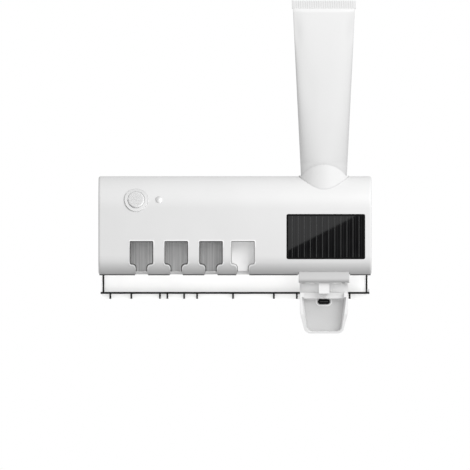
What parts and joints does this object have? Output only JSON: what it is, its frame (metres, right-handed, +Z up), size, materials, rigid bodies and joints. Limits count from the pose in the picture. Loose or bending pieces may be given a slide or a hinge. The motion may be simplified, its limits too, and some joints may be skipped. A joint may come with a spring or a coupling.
{
  "type": "toothpaste dispenser",
  "caption": "Wall-hung bathroom unit with hanging slots, solar panel, sensor and button; a tube stands in a cup over a hand pump that a swinging lever works.",
  "frame": {"origin": "middle of the wall plate's adhesive face, on the wall", "axes": "+Z up, +Y into the wall, so the front faces -Y, +X to the right as seen from the front"},
  "size_m": [0.25, 0.062, 0.3053],
  "materials": {
    "shell": "white moulded plastic, satin gloss",
    "inner_plastic": "white moulded plastic, matt",
    "black_plastic": "black moulded plastic",
    "clear_lens": "milky sensor lens",
    "solar_cell": "dark cells under clear resin",
    "tube_laminate": "white laminate tube wall, soft",
    "tube_plastic": "white moulded shoulder and neck",
    "black_rubber": "black rubber",
    "seal_rubber": "grey silicone rubber",
    "white_rubber": "white silicone rubber",
    "steel": "plain steel",
    "reflector_sheet": "bright rolled aluminium sheet",
    "lamp_glass": "clear lamp tube",
    "circuit_board": "green circuit board",
    "switch_plastic": "black switch body",
    "cell_wrap": "blue shrink wrap",
    "red_lead": "red insulated lead",
    "plate_plastic": "white moulded plate",
    "foam": "double-sided adhesive foam"
  },
  "bodies": {
    "bracket": {"wall_plate": "plate_plastic", "adhesive_pads": "foam"},
    "unit": {"rear_case": "shell", "hanger_rail": "black_plastic", "front_cover": "shell", "case_screws": "steel", "button_bezel": "shell", "sensor_lens": "clear_lens", "control_board": "circuit_board", "board_screws": "steel", "tact_switch": "switch_plastic", "motion_sensor": "steel", "solar_board": "circuit_board", "solar_cells": "solar_cell", "solar_frame": "black_plastic", "tube_cup": "shell", "hood": "shell", "pump_body": "inner_plastic", "gallery_plug": "inner_plastic", "inlet_seal": "seal_rubber", "inlet_valve": "seal_rubber", "outlet_nozzle": "inner_plastic", "nozzle_tip": "seal_rubber", "lever_pin": "steel", "return_spring": "steel", "reflector": "reflector_sheet", "uv_lamp": "lamp_glass", "lamp_holders": "inner_plastic", "blind_pocket": "inner_plastic", "power_board": "circuit_board", "usb_socket": "steel", "battery": "cell_wrap", "battery_cradle": "inner_plastic", "solar_lead": "red_lead", "battery_lead": "red_lead", "lamp_lead": "red_lead"},
    "lever": {"push_lever": "shell", "push_pad": "black_rubber"},
    "plunger": {"piston": "inner_plastic", "piston_seal": "seal_rubber"},
    "button": {"button_cap": "shell"},
    "tube": {"tube_sleeve": "tube_laminate", "tube_head": "tube_plastic"},
    "plug": {"usb_plug": "white_rubber"}
  },
  "joints": [
    {"name": "unit_lift", "type": "slide", "parent": "bracket", "child": "unit", "axis": [0, 0, 1], "range_m": [0, 0.0084]},
    {"name": "lever_push", "type": "hinge", "parent": "unit", "child": "lever", "pos_m": [0.0815, -0.0208, -0.048], "axis": [1, 0, 0], "range_deg": [0, 20], "stiffness_Nm_per_rad": 0.3, "springref_deg": -8.59},
    {"name": "piston_slide", "type": "slide", "parent": "unit", "child": "plunger", "axis": [0, -1, 0], "range_m": [0, 0.006], "deforming": ["return_spring"]},
    {"name": "button_press", "type": "slide", "parent": "unit", "child": "button", "axis": [0, 0.9668, -0.2555], "range_m": [0, 0.0012], "stiffness_N_per_m": 800, "springref_m": -0.001},
    {"name": "tube_lift", "type": "slide", "parent": "unit", "child": "tube", "axis": [0, 0, 1], "range_m": [0, 0.05]},
    {"name": "plug_pull", "type": "slide", "parent": "unit", "child": "plug", "axis": [-1, 0, 0], "range_m": [0, 0.006]}
  ],
  "couplings": [
    {"joint": "piston_slide", "follows": "lever_push", "m_per_rad": 0.017}
  ]
}
